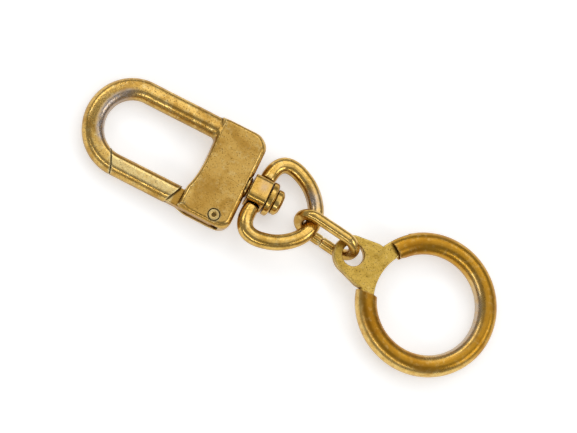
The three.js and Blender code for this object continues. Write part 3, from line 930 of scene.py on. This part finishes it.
class Nodes:
    """Short words for building a material's nodes."""

    def __init__(self, name):
        self.material = bpy.data.materials.new(name)
        self.material.use_nodes = True
        self.tree = self.material.node_tree
        self.shader = self.tree.nodes["Principled BSDF"]
        self.object = self.node("ShaderNodeTexCoord").outputs["Object"]

    def node(self, kind, **settings):
        made = self.tree.nodes.new(kind)
        for key, value in settings.items():
            setattr(made, key, value)
        return made

    def set(self, socket, value):
        if isinstance(value, bpy.types.NodeSocket):
            self.tree.links.new(value, socket)
        else:
            socket.default_value = value

    def noise(self, size, detail=3.0, roughness=0.55, stretch=(1, 1, 1), distortion=0.0):
        """Noise whose features are about size millimetres across."""
        mapping = self.node("ShaderNodeMapping")
        self.set(mapping.inputs["Vector"], self.object)
        mapping.inputs["Scale"].default_value = stretch
        made = self.node("ShaderNodeTexNoise")
        self.set(made.inputs["Vector"], mapping.outputs["Vector"])
        made.inputs["Scale"].default_value = 1 / (size * MM)
        made.inputs["Detail"].default_value = detail
        made.inputs["Roughness"].default_value = roughness
        made.inputs["Distortion"].default_value = distortion
        return made.outputs["Fac"]

    def spread(self, value, low, high, to_low=0.0, to_high=1.0):
        made = self.node("ShaderNodeMapRange", interpolation_type="SMOOTHSTEP")
        self.set(made.inputs["Value"], value)
        ends = {"From Min": low, "From Max": high, "To Min": to_low, "To Max": to_high}
        for key, number in ends.items():
            self.set(made.inputs[key], number)
        return made.outputs["Result"]

    def math(self, operation, a, b=0.0):
        made = self.node("ShaderNodeMath", operation=operation)
        self.set(made.inputs[0], a)
        self.set(made.inputs[1], b)
        return made.outputs[0]

    def attribute(self, name):
        return self.node("ShaderNodeAttribute", attribute_name=name).outputs["Fac"]

    def mix(self, share, a, b):
        made = self.node("ShaderNodeMix", data_type="RGBA")
        self.set(made.inputs["Factor"], share)
        self.set(made.inputs["A"], a)
        self.set(made.inputs["B"], b)
        return made.outputs["Result"]

    def bump(self, height, distance, strength, normal=None):
        made = self.node("ShaderNodeBump")
        self.set(made.inputs["Height"], height)
        made.inputs["Distance"].default_value = distance * MM
        made.inputs["Strength"].default_value = strength
        if normal is not None:
            self.set(made.inputs["Normal"], normal)
        return made.outputs["Normal"]


def colour(red, green, blue):
    return (red, green, blue, 1.0)


SPECK = colour(0.13, 0.055, 0.01)
BARE_METAL_AND_REFLECTION = colour(0.43, 0.37, 0.335)
SHADED = colour(0.33, 0.185, 0.03)
DIRT_AND_SHADE = colour(0.035, 0.014, 0.003)


def brass(name, base, deep, pale, smooth, pitting, patches, hammered):
    """Worn, gilded brass. base is its usual colour, deep its browned one and pale its worn one; deep
    also serves as painted shade, and pale as painted highlight.

    patches is how wide its browned patches are, in millimetres."""
    n = Nodes(name)
    tarnish = n.noise(patches, 4, 0.6, distortion=0.4)
    mottle = n.noise(1.1, 3, 0.65)
    speck = n.noise(0.28, 2, 0.6)
    scratch = n.noise(0.35, 2, 0.5, stretch=(0.12, 1, 1))
    tint = n.mix(n.spread(tarnish, 0.4, 0.66, 0.0, 0.9), base, deep)
    tint = n.mix(n.spread(mottle, 0.5, 0.75, 0.0, 0.45), tint, pale)
    tint = n.mix(n.spread(speck, 0.56, 0.72, 0.0, pitting), tint, SPECK)
    # Rubbed edges, and painted highlights on the ring and the gate's top flat, made paler.
    rubbed_and_highlit = n.math("MULTIPLY", n.attribute("wear_and_highlight"), n.spread(mottle, 0.25, 0.6, 0.35, 1.0))
    tint = n.mix(n.math("MULTIPLY", rubbed_and_highlit, 0.75), tint, pale)
    # Bare metal, and on the ring a painted reflection, in grey.
    bare_and_reflection = n.math("MULTIPLY", n.attribute("plating_gone_and_reflection"), n.spread(mottle, 0.3, 0.62, 0.55, 1.0))
    tint = n.mix(bare_and_reflection, tint, BARE_METAL_AND_REFLECTION)
    # Painted shade on the sides that turn down.
    shade = n.math("MULTIPLY", n.attribute("underside_shade"), n.spread(tarnish, 0.3, 0.7, 0.55, 0.85))
    tint = n.mix(shade, tint, SHADED)
    # Browned colour, which also carries painted shade.
    tint = n.mix(n.attribute("tarnish_and_shade"), tint, deep)
    # Dirt and painted shade: near black in hollows and between pieces.
    dirt_and_shade = n.math("MULTIPLY", n.attribute("grime_and_shade"), n.spread(mottle, 0.2, 0.7, 0.7, 1.0))
    tint = n.mix(dirt_and_shade, tint, DIRT_AND_SHADE)
    n.set(n.shader.inputs["Base Color"], tint)
    n.shader.inputs["Metallic"].default_value = 1.0
    gloss = n.spread(tarnish, 0.3, 0.7, smooth, smooth + 0.12)
    gloss = n.math("ADD", gloss, n.spread(speck, 0.45, 0.75, 0.0, 0.12))
    gloss = n.math("ADD", gloss, n.math("MULTIPLY", n.attribute("grime_and_shade"), 0.3))
    gloss = n.math("SUBTRACT", gloss, n.math("MULTIPLY", rubbed_and_highlit, 0.08))
    n.set(n.shader.inputs["Roughness"], gloss)
    pits = n.bump(n.spread(speck, 0.55, 0.75, 1.0, 0.0), 0.03, 0.85 * pitting)
    lines = n.bump(scratch, 0.02, 0.3, n.bump(mottle, 0.08, hammered, pits))
    n.set(n.shader.inputs["Normal"], n.bump(tarnish, 0.25, 0.25, lines))
    return n.material


def steel(name):
    n = Nodes(name)
    stain = n.noise(1.5, 3)
    clean, stained = colour(0.42, 0.41, 0.39), colour(0.2, 0.16, 0.12)
    n.set(n.shader.inputs["Base Color"], n.mix(n.spread(stain, 0.4, 0.7), clean, stained))
    n.shader.inputs["Metallic"].default_value = 1.0
    n.set(n.shader.inputs["Roughness"], n.spread(stain, 0.3, 0.7, 0.3, 0.5))
    n.set(n.shader.inputs["Normal"], n.bump(n.noise(0.2), 0.02, 0.3))
    return n.material


HOOK_BRASS = brass(
    "worn_brass_hook",
    base=colour(0.70, 0.445, 0.12), deep=colour(0.46, 0.25, 0.045), pale=colour(0.90, 0.76, 0.38),
    smooth=0.18, pitting=0.9, patches=3.4, hammered=0.25,
)
SWIVEL_BRASS = brass(
    "worn_brass_swivel",
    base=colour(0.72, 0.455, 0.115), deep=colour(0.50, 0.28, 0.045), pale=colour(0.90, 0.72, 0.33),
    smooth=0.13, pitting=0.35, patches=3.0, hammered=0.15,
)
PLATE_BRASS = brass(
    "worn_brass_plate",
    base=colour(0.66, 0.43, 0.085), deep=colour(0.46, 0.28, 0.04), pale=colour(0.80, 0.60, 0.22),
    smooth=0.26, pitting=0.95, patches=3.0, hammered=0.6,
)
RING_BRASS = brass(
    "gilt_brass_ring",
    base=colour(0.53, 0.275, 0.028), deep=colour(0.40, 0.17, 0.010), pale=colour(0.82, 0.60, 0.22),
    smooth=0.26, pitting=0.1, patches=8.0, hammered=0.15,
)
SPRING_STEEL = steel("spring_steel_wire")

finishes = {
    HOOK_BRASS: ([hook_casting, gate_arm, gate_rivet], "gilt_brass"),
    SWIVEL_BRASS: ([spacer, stud, washer, collar, d_ring, oval_link], "worn_brass"),
    PLATE_BRASS: ([fob_plate], "worn_brass"),
    RING_BRASS: ([tube], "gilt_brass"),
    SPRING_STEEL: ([ring_spring, gate_spring, plug], "spring_steel"),
}
for material, (members, slot) in finishes.items():
    for piece in members:
        piece.data.materials.append(material)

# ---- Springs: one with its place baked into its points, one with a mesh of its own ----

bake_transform(ring_spring)
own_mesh(gate_spring)

# ---- Floor, light and camera ----

FLOOR_REACH = 1.5
floor_corners = [(-1, -1), (1, -1), (1, 1), (-1, 1)]
floor_mesh = bpy.data.meshes.new("floor")
floor_mesh.from_pydata(
    [(x * FLOOR_REACH, y * FLOOR_REACH, 0) for x, y in floor_corners], [], [(0, 1, 2, 3)]
)
floor = bpy.data.objects.new("floor", floor_mesh)
bpy.context.scene.collection.objects.link(floor)
floor.location.z = -0.0001  # clear of the lowest faces, so that they don't flicker
paper = Nodes("pale_floor")
paper.shader.inputs["Base Color"].default_value = colour(0.9, 0.9, 0.9)
paper.shader.inputs["Roughness"].default_value = 0.9
paper.shader.inputs["Emission Color"].default_value = colour(1, 1, 1)
paper.shader.inputs["Emission Strength"].default_value = 0.45
floor_mesh.materials.append(paper.material)


def softbox(name, azimuth, elevation, distance, width, height, power):
    """A soft area light that faces the object. Azimuth 0 is on the -Y side."""
    a, e = rad(azimuth), rad(elevation)
    towards = Vector((math.sin(a) * math.cos(e), -math.cos(a) * math.cos(e), math.sin(e)))
    data = bpy.data.lights.new(name, "AREA")
    data.shape = "RECTANGLE"
    data.size, data.size_y = width, height
    data.energy = power
    light = bpy.data.objects.new(name, data)
    light.location = towards * distance
    light.rotation_euler = towards.to_track_quat("Z", "Y").to_euler()
    bpy.context.scene.collection.objects.link(light)


softbox("front_softbox", -15, 38, distance=0.9, width=1.2, height=0.12, power=1.6)
softbox("back_left_softbox", -130, 40, distance=0.9, width=0.8, height=0.2, power=1.2)
softbox("right_softbox", 95, 35, distance=0.9, width=0.6, height=0.3, power=1.2)
softbox("back_softbox", 168, 48, distance=1.0, width=0.9, height=0.45, power=1.5)
softbox("top_softbox", 155, 76, distance=1.0, width=0.8, height=0.6, power=1.0)

world = bpy.data.worlds.new("studio")
world.use_nodes = True
background = world.node_tree.nodes["Background"]
background.inputs["Color"].default_value = colour(1, 1, 1)
background.inputs["Strength"].default_value = 0.3
bpy.context.scene.world = world
bpy.context.scene.view_settings.view_transform = "Standard"

# The camera looks steeply down from the front left, and is rolled, so that the keyring lies aslant.
AZIMUTH, ELEVATION, ROLL = rad(-20.47), rad(73.48), rad(47.26)
LENS = 400
SENSOR = 36
PHOTO_WIDTH = 577
PIXELS_PER_MM = 4.679
AIM_LEFT_OF_RING, AIM_ABOVE_RING = 29.37, 18.88
back = Vector((
    math.sin(AZIMUTH) * math.cos(ELEVATION),
    -math.cos(AZIMUTH) * math.cos(ELEVATION),
    math.sin(ELEVATION),
))
level = Vector((math.cos(AZIMUTH), math.sin(AZIMUTH), 0))
right = Matrix.Rotation(ROLL, 3, back) @ level
up = back.cross(right)
distance = LENS / SENSOR * PHOTO_WIDTH / PIXELS_PER_MM * MM
ring_centre = Vector(joints["ring_open"]["pos_m"])
aim = ring_centre - AIM_LEFT_OF_RING * MM * right + AIM_ABOVE_RING * MM * up
camera_data = bpy.data.cameras.new("camera")
camera_data.lens = LENS
camera_data.sensor_width = SENSOR
camera_data.clip_start = 0.01
camera = bpy.data.objects.new("camera", camera_data)
facing_camera = Matrix((right, up, back)).transposed().to_4x4()
camera.matrix_world = Matrix.Translation(aim + back * distance) @ facing_camera
bpy.context.scene.collection.objects.link(camera)
bpy.context.scene.camera = camera
